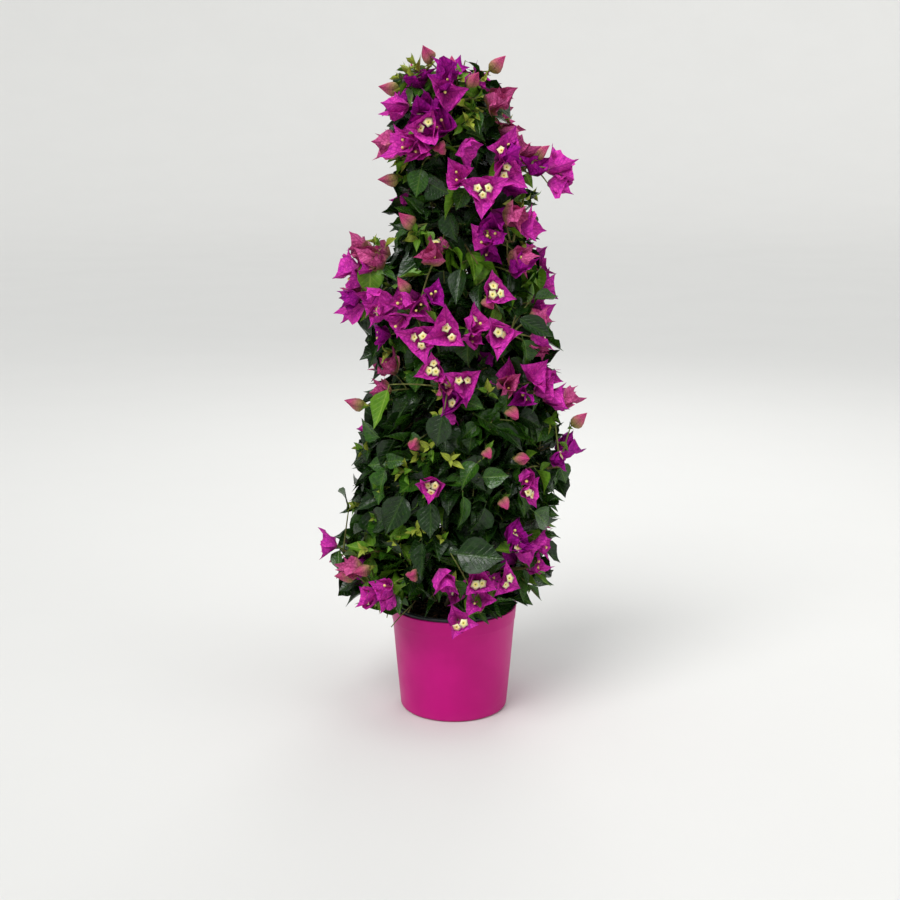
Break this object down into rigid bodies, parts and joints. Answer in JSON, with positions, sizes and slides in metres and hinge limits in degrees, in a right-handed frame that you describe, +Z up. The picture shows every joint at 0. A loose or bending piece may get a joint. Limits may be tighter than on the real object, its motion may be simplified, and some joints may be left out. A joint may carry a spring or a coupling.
{
  "type": "potted bougainvillea bush",
  "caption": "Bougainvillea bush trained as a narrow column in a round cover pot, with arching boughs, drooping leaves and sprays of papery blossom.",
  "frame": {"origin": "centre of the pot's flat underside", "axes": "+Z up along the pot's axis, -Y towards the front of the picture, +X to its right"},
  "size_m": [0.3692, 0.3052, 0.8628],
  "materials": {
    "pot": "smooth moulded magenta plastic, half gloss",
    "inner_pot": "thin dark grower's pot with a rounded lip",
    "compost": "damp bark and peat compost",
    "bark": "ridged grey-brown bark",
    "foliage": "soft leaves with a waxy sheen",
    "bracts": "papery, veined magenta bracts"
  },
  "bodies": {
    "root": {"pot": "pot", "inner_pot": "inner_pot", "compost": "compost", "trunk": "bark", "bough_crown": "bark", "bough_crown_left": "bark", "bough_arm": "bark", "bough_brow": "bark", "bough_shoulder": "bark", "bough_left": "bark", "bough_band_left": "bark", "bough_band_right": "bark", "bough_waist": "bark", "bough_right": "bark", "bough_low_right": "bark", "bough_rim_right": "bark", "bough_rim_front": "bark", "bough_rim_left": "bark", "bough_left_tip": "bark", "bough_back_top": "bark", "bough_back_right": "bark", "bough_back_left": "bark", "bough_back_low": "bark", "blossom_crown": "bracts", "blossom_crown_left": "bracts", "blossom_arm": "bracts", "blossom_brow": "bracts", "blossom_shoulder": "bracts", "blossom_left": "bracts", "blossom_band_left": "bracts", "blossom_band_right": "bracts", "blossom_waist": "bracts", "blossom_right": "bracts", "blossom_low_right": "bracts", "blossom_rim_right": "bracts", "blossom_rim_front": "bracts", "blossom_rim_left": "bracts", "blossom_left_tip": "bracts", "blossom_back_top": "bracts", "blossom_back_right": "bracts", "blossom_back_left": "bracts", "blossom_back_low": "bracts", "leaves_foot_1": "foliage", "leaves_foot_2": "foliage", "leaves_foot_3": "foliage", "leaves_foot_4": "foliage", "leaves_low_1": "foliage", "leaves_low_2": "foliage", "leaves_low_3": "foliage", "leaves_low_4": "foliage", "leaves_middle_1": "foliage", "leaves_middle_2": "foliage", "leaves_middle_3": "foliage", "leaves_waist_1": "foliage", "leaves_waist_2": "foliage", "leaves_waist_3": "foliage", "leaves_high_1": "foliage", "leaves_high_2": "foliage", "leaves_top_1": "foliage"}
  },
  "joints": []
}
